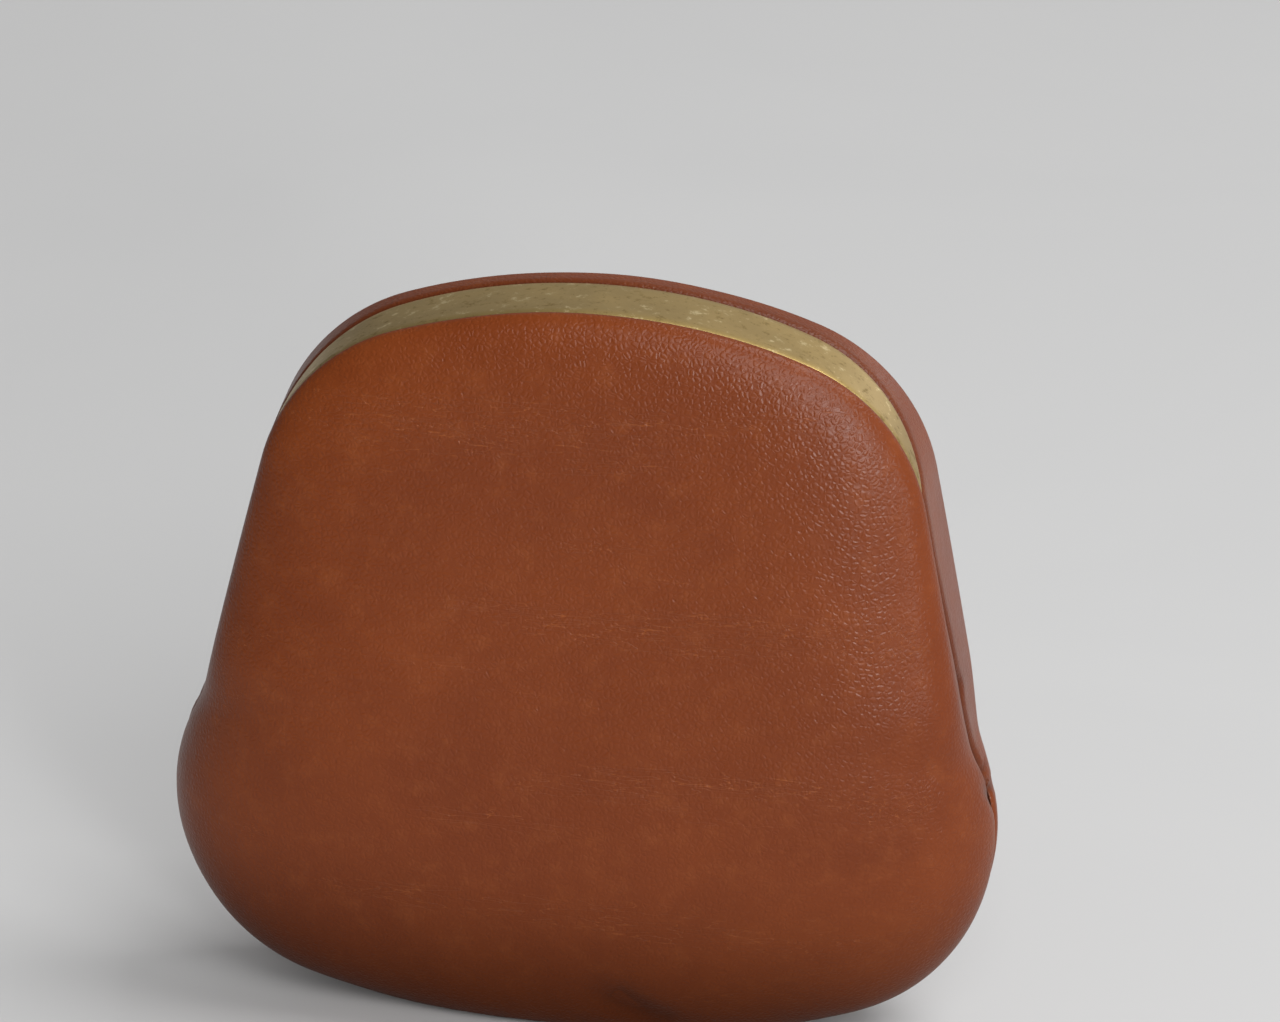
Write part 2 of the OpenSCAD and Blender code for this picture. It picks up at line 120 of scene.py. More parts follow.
@dataclass
class PurseForm:
    """Outline and depth of the purse, from which every soft piece takes its shape."""

    body_w: float = 98.0
    body_h: float = 90.0
    body_d: float = 32.6
    mouth_d: float = 21.0
    hinge_w: float = 88.0
    hinge_z: float = 46.0
    side_lean: float = 12.1
    crown_r: float = 72.0
    shoulder_r: float = 23.0
    belly_r: float = 24.0
    bottom_r: float = 101.0
    neck_r: float = 15.0
    base_sink: float = 2.9
    base_round: float = 0.35
    seam_z: float = 30.0
    belly_z: float = 21.0
    seam_rim_y: float = 0.6
    hinge_groove: float = 3.4
    mouth_groove: float = 5.6
    groove_rise: float = 20.0
    bare_band: float = 9.8
    bare_reach: float = 46.5
    bare_flatness: float = 4
    bare_taper: float = 0.8
    arc_steps: int = 40
    stations: list[Station] = field(init=False, default_factory=list)
    lengths: list[float] = field(init=False, default_factory=list)

    def __post_init__(self) -> None:
        """Works out half the outline, from the crown down the right side to the base."""
        lean = math.radians(self.side_lean)
        n, down = (math.cos(lean), math.sin(lean)), (math.sin(lean), -math.cos(lean))
        crown = (0.0, self.body_h - self.crown_r)
        offset = n[0] * self.hinge_w / 2 + n[1] * self.hinge_z
        shoulder_a = lean + math.acos(
            (offset - self.shoulder_r - n[1] * crown[1]) / (self.crown_r - self.shoulder_r))
        reach = self.crown_r - self.shoulder_r
        shoulder = (reach * math.cos(shoulder_a), crown[1] + reach * math.sin(shoulder_a))
        belly_x, bottom = self.body_w / 2 - self.belly_r, self.bottom_r - self.base_sink
        belly = (belly_x, bottom - math.sqrt((self.bottom_r - self.belly_r) ** 2 - belly_x ** 2))
        bottom_a = math.atan2(belly[1] - bottom, belly_x)
        along = offset - n[0] * belly[0] - n[1] * belly[1] + self.neck_r
        up = math.sqrt((self.belly_r + self.neck_r) ** 2 - along ** 2)
        neck = (belly[0] + along * n[0] - up * down[0], belly[1] + along * n[1] - up * down[1])
        belly_a = math.atan2(neck[1] - belly[1], neck[0] - belly[0])
        top = (shoulder[0] + self.shoulder_r * n[0], shoulder[1] + self.shoulder_r * n[1])
        end = (neck[0] - self.neck_r * n[0], neck[1] - self.neck_r * n[1])
        self.stations = [Station(0.0, self.body_h, 0.0, 1.0)]
        self._arc(crown, self.crown_r, math.pi / 2, shoulder_a)
        self._arc(shoulder, self.shoulder_r, shoulder_a, lean)
        for i in range(1, self.arc_steps + 1):
            t = i / self.arc_steps
            self.stations.append(Station(mix(top[0], end[0], t), mix(top[1], end[1], t), *n))
        self._arc(neck, self.neck_r, lean + math.pi, belly_a + math.pi, Turn.HOLLOW)
        self._arc(belly, self.belly_r, belly_a, bottom_a)
        self._arc((0.0, bottom), self.bottom_r, bottom_a, -math.pi / 2)
        self.lengths = [0.0]
        for a, b in zip(self.stations, self.stations[1:]):
            self.lengths.append(self.lengths[-1] + math.hypot(b.x - a.x, b.z - a.z))

    def _arc(self, centre: tuple[float, float], radius: float, start: float, stop: float,
             turn: Turn = Turn.BULGE) -> None:
        """Adds the stations of one arc.

        Args:
            centre: Centre of the arc in x and z.
            radius: Radius of the arc.
            start: Angle of the arc's first point, in radians.
            stop: Angle of its last point.
            turn: Whether the arc bulges outward or is hollow.
        """
        for i in range(1, self.arc_steps + 1):
            a = mix(start, stop, i / self.arc_steps)
            c, s = math.cos(a), math.sin(a)
            self.stations.append(Station(centre[0] + radius * c, centre[1] + radius * s,
                                         turn.value * c, turn.value * s))

    @property
    def half_length(self) -> float:
        """Length of half the outline."""
        return self.lengths[-1]

    def station(self, s: float) -> Station:
        """Finds a place on the outline.

        Args:
            s: Length along the outline from the crown, negative on the left side.

        Returns:
            The station there.
        """
        a = min(abs(s), self.half_length)
        i = min(len(self.lengths) - 2, max(0, bisect.bisect_right(self.lengths, a) - 1))
        t = (a - self.lengths[i]) / (self.lengths[i + 1] - self.lengths[i])
        p, q = self.stations[i], self.stations[i + 1]
        sign = -1.0 if s < 0 else 1.0
        return Station(sign * mix(p.x, q.x, t), mix(p.z, q.z, t),
                       sign * mix(p.nx, q.nx, t), mix(p.nz, q.nz, t))

    def seam_mix(self, z: float) -> float:
        """Returns 0 down in the closed seam and 1 at the hinge."""
        return smooth((z - self.seam_z) / (self.hinge_z - self.seam_z))

    def around(self, columns: int) -> list[float]:
        """Returns lengths spaced evenly round the whole outline."""
        total = self.half_length
        return [-total + 2 * total * (i + 0.5) / columns for i in range(columns)]

    def rim_depth(self, z: float, pillow: Pillow) -> float:
        """Returns how far from the middle plane a face turns into its side strip."""
        return mix(self.seam_rim_y, pillow.rim_y, self.seam_mix(z))

    def groove_y(self, z: float) -> float:
        """Returns the depth at which the two halves meet."""
        rise = smooth((z - self.hinge_z) / self.groove_rise)
        return (-self.hinge_groove * self.seam_mix(z)
                - (self.mouth_groove - self.hinge_groove) * rise)

    def bare(self, s: float) -> float:
        """Returns the width of bare brass at length s from the crown."""
        share = abs(s) / self.bare_reach
        if share >= 1:
            return 0.0
        return self.bare_band * (1 - share ** self.bare_flatness) ** self.bare_taper

    def rise(self, z: float) -> float:
        """Returns 0 at the fullest part of the pouch and 1 at the hinge."""
        return smooth((z - self.belly_z) / (self.hinge_z - self.belly_z))

    def depth(self, z: float, inset: float, t: float, pillow: Pillow = FIRM) -> float:
        """Works out how far a face stands from the middle plane.

        Args:
            z: Height.
            inset: How far inside the outer surface.
            t: Share of the way from the middle of the face to its rim.
            pillow: How the face rounds over at its rim.

        Returns:
            The depth, always positive.
        """
        full = mix(pillow.pouch_fullness, pillow.mouth_fullness, self.rise(z))
        face = mix(self.mouth_d / 2, self.body_d / 2,
                   smooth((self.body_h - z) / (self.body_h - self.belly_z)))
        rim = min(self.rim_depth(z, pillow), face - inset)
        return rim + (face - inset - rim) * math.sqrt(max(0.0, 1 - t ** full))

    def settle(self, z: float, inset: float = 0.0) -> float:
        """Returns the height after the base has settled flat on the floor."""
        over = z - inset
        flat = (over + math.sqrt(over * over + 4 * self.base_round ** 2)) / 2
        return inset + flat - self.base_round ** 2 / self.base_sink


# ---------------------------------------------------------------- meshes


@dataclass
class Weave:
    """Closed loops of points, joined into one skin."""

    loops: list[list[Point]] = field(default_factory=list)
    marks: list[list[float]] = field(default_factory=list)

    def add(self, loop: Sequence[Point], mark: Sequence[float] | float = 0.0) -> None:
        """Adds a loop.

        Args:
            loop: Its points in millimetres.
            mark: Nearness to a cut edge of the leather, for the whole loop or each point.
        """
        self.loops.append(list(loop))
        self.marks.append([mark] * len(loop) if isinstance(mark, float) else list(mark))

    def mesh(self, name: str, first: Point, last: Point) -> bpy.types.Mesh:
        """Joins the loops and closes both ends.

        Args:
            name: Name of the mesh.
            first: Point that closes the first loop.
            last: Point that closes the last loop.

        Returns:
            The mesh in metres, with smooth faces and the attribute cut_edge_and_crease_shade.
        """
        bm = bmesh.new()
        layer = bm.verts.layers.float.new("cut_edge_and_crease_shade")
        rows = []
        for loop, marks in zip(self.loops, self.marks):
            row = [bm.verts.new(Vector(p) * MM) for p in loop]
            for vert, mark in zip(row, marks):
                vert[layer] = mark
            rows.append(row)
        count = len(rows[0])
        for low, high in zip(rows, rows[1:]):
            for i in range(count):
                j = (i + 1) % count
                bm.faces.new((low[i], low[j], high[j], high[i]))
        tip = bm.verts.new(Vector(first) * MM)
        for i in range(count):
            bm.faces.new((tip, rows[0][(i + 1) % count], rows[0][i]))
        tip = bm.verts.new(Vector(last) * MM)
        for i in range(count):
            bm.faces.new((tip, rows[-1][i], rows[-1][(i + 1) % count]))
        bmesh.ops.recalc_face_normals(bm, faces=bm.faces)
        mesh = bpy.data.meshes.new(name)
        for face in bm.faces:
            face.smooth = True
        bm.to_mesh(mesh)
        bm.free()
        return mesh


def eased_shares(rings: int, ease: float) -> list[float]:
    """Returns shares of the way from 0 to 1, closer together toward 1."""
    return [1 - (1 - k / rings) ** ease for k in range(1, rings + 1)]


def place(name: str, mesh: bpy.types.Mesh) -> bpy.types.Object:
    """Returns a new object with the mesh, linked into the scene."""
    piece = bpy.data.objects.new(name, mesh)
    bpy.context.scene.collection.objects.link(piece)
    return piece


def move_along_normals(mesh: bpy.types.Mesh, shift: Callable[[Vector], float]) -> None:
    """Moves each vertex along its normal.

    Args:
        mesh: The mesh to shape, in metres.
        shift: Gives the move in millimetres for a place in millimetres.
    """
    normals = [v.normal.copy() for v in mesh.vertices]
    for vert, normal in zip(mesh.vertices, normals):
        vert.co += normal * (shift(vert.co / MM) * MM)
    mesh.update()


# ---------------------------------------------------------------- effects and finishes


@dataclass
class Graph:
    """A node tree with short calls to add and join nodes."""

    tree: bpy.types.NodeTree

    def add(self, kind: str, values: dict[str | int, object] | None = None,
            **settings: object) -> bpy.types.Node:
        """Adds a node.

        Args:
            kind: Node type without its ShaderNode prefix.
            values: Values or source sockets for its inputs.
            settings: Properties of the node.

        Returns:
            The node.
        """
        node = self.tree.nodes.new("ShaderNode" + kind)
        for key, value in settings.items():
            setattr(node, key, value)
        for key, value in (values or {}).items():
            if isinstance(value, bpy.types.NodeSocket):
                self.tree.links.new(value, node.inputs[key])
            else:
                node.inputs[key].default_value = value
        return node

    def join(self, source: bpy.types.NodeSocket, target: bpy.types.NodeSocket) -> None:
        """Joins two sockets."""
        self.tree.links.new(source, target)

    def maths(self, operation: str, *terms: object, clamp: bool = False) -> bpy.types.NodeSocket:
        """Returns the result of a Math node on numbers or sockets."""
        node = self.add("Math", dict(enumerate(terms)), operation=operation, use_clamp=clamp)
        return node.outputs[0]

    def remap(self, value: bpy.types.NodeSocket, low: float, high: float,
              to_low: float = 0.0, to_high: float = 1.0) -> bpy.types.NodeSocket:
        """Returns value stretched smoothly from one range to another.

        Args:
            value: Source socket.
            low: Start of the source range.
            high: End of the source range.
            to_low: Result at low.
            to_high: Result at high.

        Returns:
            The stretched value.
        """
        node = self.add("MapRange", {"Value": value, "From Min": low, "From Max": high,
                                     "To Min": to_low, "To Max": to_high},
                        interpolation_type="SMOOTHSTEP")
        return node.outputs["Result"]

    def blend(self, fac: object, a: object, b: object, mode: str = "MIX") -> bpy.types.NodeSocket:
        """Returns colour a mixed with colour b.

        Args:
            fac: Share of b, as a number or socket.
            a: First colour or socket.
            b: Second colour or socket.
            mode: Blend mode of the mix.

        Returns:
            The mixed colour.
        """
        node = self.add("Mix", data_type="RGBA", blend_type=mode)
        for key, value in ((0, fac), (6, a), (7, b)):
            if isinstance(value, bpy.types.NodeSocket):
                self.join(value, node.inputs[key])
            else:
                node.inputs[key].default_value = value
        return node.outputs[2]


@dataclass
class Effect:
    """A shader node group shared by several finishes."""

    name: str
    numbers: dict[str, float]
    outputs: tuple[str, ...]
    graph: Graph = field(init=False)
    inside: bpy.types.Node = field(init=False)
    outside: bpy.types.Node = field(init=False)

    def __post_init__(self) -> None:
        """Makes the empty group with its sockets."""
        tree = bpy.data.node_groups.new(self.name, "ShaderNodeTree")
        tree.interface.new_socket("Vector", in_out="INPUT", socket_type="NodeSocketVector")
        for name, value in self.numbers.items():
            socket = tree.interface.new_socket(name, in_out="INPUT", socket_type="NodeSocketFloat")
            socket.default_value = value
        for name in self.outputs:
            tree.interface.new_socket(name, in_out="OUTPUT", socket_type="NodeSocketFloat")
        self.graph = Graph(tree)
        self.inside = tree.nodes.new("NodeGroupInput")
        self.outside = tree.nodes.new("NodeGroupOutput")

    def given(self, name: str) -> bpy.types.NodeSocket:
        """Returns the socket inside the group that carries an input."""
        return self.inside.outputs[name]

    def give(self, name: str, source: bpy.types.NodeSocket) -> None:
        """Sends a value out of the group."""
        self.graph.join(source, self.outside.inputs[name])

    def use(self, graph: Graph, vector: bpy.types.NodeSocket, **numbers: float) -> bpy.types.Node:
        """Places the group in a material.

        Args:
            graph: The material's graph.
            vector: Coordinates for the effect.
            numbers: Values for its inputs, with _ for a space in the name.

        Returns:
            The group node.
        """
        node = graph.tree.nodes.new("ShaderNodeGroup")
        node.node_tree = self.graph.tree
        graph.join(vector, node.inputs["Vector"])
        for name, value in numbers.items():
            node.inputs[name.replace("_", " ")].default_value = value
        return node


class Effects:
    """The shared effects: grain, mottling, scratches and flecks."""

    def __init__(self) -> None:
        """Builds each effect once."""
        self.grain = self._grain()
        self.mottle = self._mottle()
        self.scratches = self._scratches()
        self.flecks = self._flecks()

    def _grain(self) -> Effect:
        """Returns fine leather grain: pebbles with pores, over a soft swell."""
        e = Effect("leather_grain", {"Cell Scale": 1500.0, "Pore": 0.4}, ("Height",))
        g = e.graph
        warp = g.add("TexNoise", {"Vector": e.given("Vector"), "Scale": 900.0, "Detail": 2.0})
        bent = g.add("VectorMath", {0: warp.outputs["Color"], 1: (0.0004, 0.0004, 0.0004)},
                     operation="MULTIPLY")
        place_in = g.add("VectorMath", {0: e.given("Vector"), 1: bent.outputs[0]}, operation="ADD")
        cells = g.add("TexVoronoi", {"Vector": place_in.outputs[0],
                                     "Scale": e.given("Cell Scale")}, feature="DISTANCE_TO_EDGE")
        pebble = g.remap(cells.outputs["Distance"], 0.0, 0.35)
        swell = g.add("TexNoise", {"Vector": e.given("Vector"), "Scale": 450.0, "Detail": 4.0,
                                   "Roughness": 0.6})
        pores = g.add("TexVoronoi", {"Vector": e.given("Vector"), "Scale": 700.0})
        pit = g.remap(pores.outputs["Distance"], 0.05, 0.2, 1.0, 0.0)
        deep = g.maths("MULTIPLY", pit, e.given("Pore"))
        high = g.maths("ADD", g.maths("MULTIPLY", pebble, 0.5), swell.outputs["Fac"])
        e.give("Height", g.maths("SUBTRACT", high, deep))
        return e

    def _mottle(self) -> Effect:
        """Returns cloudy patches of dye at two sizes."""
        e = Effect("dye_mottle", {"Scale": 45.0, "Contrast": 0.6}, ("Patch", "Fine"))
        g = e.graph
        broad = g.add("TexNoise", {"Vector": e.given("Vector"), "Scale": e.given("Scale"),
                                   "Detail": 5.0, "Roughness": 0.55, "Distortion": 0.6})
        small = g.maths("MULTIPLY", e.given("Scale"), 9.0)
        fine = g.add("TexNoise", {"Vector": e.given("Vector"), "Scale": small, "Detail": 4.0,
                                  "Roughness": 0.65})
        for name, tex in (("Patch", broad), ("Fine", fine)):
            spread = g.maths("SUBTRACT", tex.outputs["Fac"], 0.5)
            stretched = g.maths("MULTIPLY", spread, g.maths("MULTIPLY", e.given("Contrast"), 5.0))
            e.give(name, g.maths("ADD", stretched, 0.5, clamp=True))
        return e

    def _scratches(self) -> Effect:
        """Returns thin short hair scratches in two directions."""
        e = Effect("hair_scratches", {"Scale": 60.0, "Amount": 0.5}, ("Mask",))
        g = e.graph
        result = None
        for turn, long in ((0.6, 0.10), (-0.9, 0.14)):
            lie = g.add("Mapping", {"Vector": e.given("Vector"), "Rotation": (0.0, turn, 0.2),
                                    "Scale": (long, 1.0, 1.0)})
            lines = g.add("TexNoise", {"Vector": lie.outputs[0],
                                       "Scale": g.maths("MULTIPLY", e.given("Scale"), 26.0),
                                       "Detail": 1.0})
            near = g.maths("ABSOLUTE", g.maths("SUBTRACT", lines.outputs["Fac"], 0.5))
            line = g.remap(near, 0.0, 0.012, 1.0, 0.0)
            where = g.add("TexNoise", {"Vector": lie.outputs[0],
                                       "Scale": g.maths("MULTIPLY", e.given("Scale"), 2.2),
                                       "Detail": 2.0})
            some = g.remap(where.outputs["Fac"], 0.58, 0.66)
            one = g.maths("MULTIPLY", line, some)
            result = one if result is None else g.maths("MAXIMUM", result, one)
        e.give("Mask", g.maths("MULTIPLY", result, e.given("Amount")))
        return e

    def _flecks(self) -> Effect:
        """Returns tiny bright and dark flecks of a lightly corroded metal."""
        e = Effect("metal_flecks", {"Scale": 900.0, "Amount": 0.5}, ("Bright", "Dark", "Height"))
        g = e.graph
        dots = g.add("TexNoise", {"Vector": e.given("Vector"), "Scale": e.given("Scale"),
                                  "Detail": 3.0, "Roughness": 0.7})
        coarse = g.add("TexNoise", {"Vector": e.given("Vector"),
                                    "Scale": g.maths("MULTIPLY", e.given("Scale"), 0.35),
                                    "Detail": 4.0, "Roughness": 0.7})
        both = g.maths("ADD", g.maths("MULTIPLY", dots.outputs["Fac"], 0.6),
                       g.maths("MULTIPLY", coarse.outputs["Fac"], 0.4))
        e.give("Bright", g.maths("MULTIPLY", g.remap(both, 0.55, 0.66), e.given("Amount")))
        e.give("Dark", g.maths("MULTIPLY", g.remap(both, 0.34, 0.47, 1.0, 0.0), e.given("Amount")))
        e.give("Height", both)
        return e


def new_material(name: str) -> tuple[bpy.types.Material, Graph, bpy.types.Node]:
    """Makes an empty material.

    Args:
        name: Name of the material.

    Returns:
        The material, its graph and its Principled node.
    """
    material = bpy.data.materials.new(name)
    material.use_nodes = True
    material.node_tree.nodes.clear()
    graph = Graph(material.node_tree)
    shader = graph.add("BsdfPrincipled")
    sheet = graph.add("OutputMaterial")
    graph.join(shader.outputs[0], sheet.inputs["Surface"])
    return material, graph, shader


@dataclass(frozen=True)
class LeatherFinish:
    """Dyed leather: its colours, grain and gloss."""

    name: str
    deep: Colour
    middle: Colour
    light: Colour
    # Dark colour of the burnished cut edges, also used for the painted shade at the base and in
    # the creases.
    edge: Colour
    roughness: float = 0.42
    cell_scale: float = 1500.0
    grain_depth: float = 0.00006
    coat: float = 0.40
    coat_roughness: float = 0.30
    scratch: float = 0.5
    sheen: float = 0.0
    specular: float = 0.04
    # Painted shade: how much darker the leather is painted at the base, and the height in metres
    # above which none is painted.
    painted_shade: float = 0.75
    painted_shade_top: float = 0.026

    def make(self, effects: Effects) -> bpy.types.Material:
        """Builds the material.

        Args:
            effects: The shared effects.

        Returns:
            The material.
        """
        material, g, shader = new_material(self.name)
        where = g.add("TexCoord").outputs["Object"]
        mottle = effects.mottle.use(g, where, Scale=38.0, Contrast=0.32)
        grain = effects.grain.use(g, where, Cell_Scale=self.cell_scale, Pore=0.35)
        scratches = effects.scratches.use(g, where, Scale=60.0, Amount=self.scratch)
        colour = g.blend(mottle.outputs["Patch"], self.deep, self.middle)
        lit = g.remap(mottle.outputs["Fine"], 0.45, 1.0, 0.0, 0.22)
        colour = g.blend(lit, colour, self.light)
        dips = g.remap(grain.outputs["Height"], 0.35, 0.75, 0.22, 0.0)
        colour = g.blend(dips, colour, self.deep)
        colour = g.blend(scratches.outputs["Mask"], colour, self.light)
        # Painted shade: the colour darkens towards the base and blends into the edge colour; the
        # coat is thinner there too.
        height = g.add("SeparateXYZ", {0: where}).outputs["Z"]
        shade = g.remap(height, 0.0, self.painted_shade_top, self.painted_shade, 0.0)
        colour = g.blend(shade, colour, self.edge)
        # Darker burnished cut edges, plus painted shade in the creases, both read from one
        # attribute.
        cut = g.add("Attribute", attribute_name="cut_edge_and_crease_shade").outputs["Fac"]
        colour = g.blend(g.maths("MULTIPLY", cut, 0.85), colour, self.edge)
        g.join(colour, shader.inputs["Base Color"])
        rough = g.maths("ADD", g.remap(mottle.outputs["Fine"], 0.0, 1.0, -0.05, 0.06),
                        self.roughness)
        rough = g.maths("ADD", rough, g.maths("MULTIPLY", scratches.outputs["Mask"], 0.15))
        g.join(rough, shader.inputs["Roughness"])
        high = g.maths("SUBTRACT", grain.outputs["Height"],
                       g.maths("MULTIPLY", scratches.outputs["Mask"], 0.6))
        bump = g.add("Bump", {"Height": high, "Strength": 1.0, "Distance": self.grain_depth})
        g.join(bump.outputs[0], shader.inputs["Normal"])
        g.join(bump.outputs[0], shader.inputs["Coat Normal"])
        g.join(g.remap(height, 0.0, self.painted_shade_top, 0.12 * self.coat, self.coat),
               shader.inputs["Coat Weight"])
        shader.inputs["Coat Roughness"].default_value = self.coat_roughness
        shader.inputs["Specular IOR Level"].default_value = self.specular
        shader.inputs["Sheen Weight"].default_value = self.sheen
        return material


@dataclass(frozen=True)
class MetalFinish:
    """Bare metal: its colours, flecks and polish."""

    name: str
    base: Colour
    dark: Colour
    bright: Colour
    roughness: float = 0.36
    fleck_scale: float = 900.0
    fleck_amount: float = 0.5
    relief: float = 0.00002

    def make(self, effects: Effects) -> bpy.types.Material:
        """Builds the material.

        Args:
            effects: The shared effects.

        Returns:
            The material.
        """
        material, g, shader = new_material(self.name)
        where = g.add("TexCoord").outputs["Object"]
        flecks = effects.flecks.use(g, where, Scale=self.fleck_scale, Amount=self.fleck_amount)
        mottle = effects.mottle.use(g, where, Scale=90.0, Contrast=0.5)
        colour = g.blend(g.maths("MULTIPLY", mottle.outputs["Patch"], 0.35), self.base, self.dark)
        colour = g.blend(flecks.outputs["Dark"], colour, self.dark)
        colour = g.blend(flecks.outputs["Bright"], colour, self.bright)
        g.join(colour, shader.inputs["Base Color"])
        rough = g.maths("ADD", g.maths("MULTIPLY", flecks.outputs["Dark"], 0.25), self.roughness)
        g.join(rough, shader.inputs["Roughness"])
        shader.inputs["Metallic"].default_value = 1.0
        bump = g.add("Bump", {"Height": flecks.outputs["Height"], "Strength": 1.0,
                              "Distance": self.relief})
        g.join(bump.outputs[0], shader.inputs["Normal"])
        return material


@dataclass(frozen=True)
class FibreFinish:
    """Matt fibrous stuff, such as board, thread or a painted floor."""

    name: str
    base: Colour
    other: Colour
    scale: float = 700.0
    roughness: float = 0.85
    relief: float = 0.00005

    def make(self, effects: Effects) -> bpy.types.Material:
        """Builds the material.

        Args:
            effects: The shared effects.

        Returns:
            The material.
        """
        material, g, shader = new_material(self.name)
        where = g.add("TexCoord").outputs["Object"]
        mottle = effects.mottle.use(g, where, Scale=self.scale, Contrast=0.5)
        g.join(g.blend(mottle.outputs["Patch"], self.base, self.other),
               shader.inputs["Base Color"])
        shader.inputs["Roughness"].default_value = self.roughness
        bump = g.add("Bump", {"Height": mottle.outputs["Fine"], "Strength": 1.0,
                              "Distance": self.relief})
        g.join(bump.outputs[0], shader.inputs["Normal"])
        return material


class Finishes:
    """Every finish of the purse and the floor under it."""

    def __init__(self) -> None:
        """Builds each material once."""
        effects = Effects()
        self.tan = LeatherFinish(
            "tan_cowhide", deep=(0.128, 0.0235, 0.0040, 1), middle=(0.196, 0.0415, 0.0072, 1),
            light=(0.300, 0.085, 0.022, 1), edge=(0.040, 0.009, 0.0025, 1)).make(effects)
        self.lining = LeatherFinish(
            "lining_skiver", deep=(0.32, 0.17, 0.08, 1), middle=(0.44, 0.25, 0.13, 1),
            light=(0.55, 0.35, 0.2, 1), edge=(0.25, 0.12, 0.05, 1), roughness=0.7,
            cell_scale=2200.0, coat=0.0, scratch=0.15, sheen=0.15).make(effects)
        self.binding = LeatherFinish(
            "binding_strip", deep=(0.10, 0.03, 0.012, 1), middle=(0.16, 0.05, 0.02, 1),
            light=(0.25, 0.09, 0.04, 1), edge=(0.05, 0.02, 0.01, 1), roughness=0.6,
            coat=0.0).make(effects)
        self.brass = MetalFinish(
            "speckled_brass", base=(0.57, 0.400, 0.150, 1), dark=(0.20, 0.135, 0.045, 1),
            bright=(0.92, 0.76, 0.42, 1), fleck_amount=0.7, roughness=0.40).make(effects)
        self.steel = MetalFinish(
            "hinge_steel", base=(0.42, 0.42, 0.42, 1), dark=(0.2, 0.2, 0.2, 1),
            bright=(0.6, 0.6, 0.6, 1), fleck_amount=0.25).make(effects)
        self.board = FibreFinish("grey_board", base=(0.36, 0.28, 0.19, 1),
                                 other=(0.26, 0.2, 0.13, 1)).make(effects)
        self.thread = FibreFinish("waxed_thread", base=(0.55, 0.44, 0.28, 1),
                                  other=(0.42, 0.32, 0.19, 1), scale=1500.0).make(effects)
        self.floor = FibreFinish("pale_floor", base=(0.570, 0.570, 0.570, 1),
                                 other=(0.590, 0.589, 0.588, 1), scale=8.0, roughness=0.9,
                                 relief=0.0).make(effects)


# ---------------------------------------------------------------- leather


@dataclass(frozen=True)
class Crease:
    """A dent or fold pressed into the leather along a short line."""

    start: Point
    end: Point
    width: float
    depth: float
    end_reach: float = 0.12
    end_fade: float = 4

    def share(self, place_mm: Vector) -> float:
        """Returns how strongly the crease acts at a place, from 0 to 1."""
        a, b = Vector(self.start), Vector(self.end)
        along = b - a
        t = max(0.0, min(1.0, (place_mm - a).dot(along) / along.length_squared))
        away = (place_mm - (a + along * t)).length / self.width
        fade = min(1.0, self.end_fade * min(t + self.end_reach, 1 + self.end_reach - t))
        return fade * math.exp(-away * away)


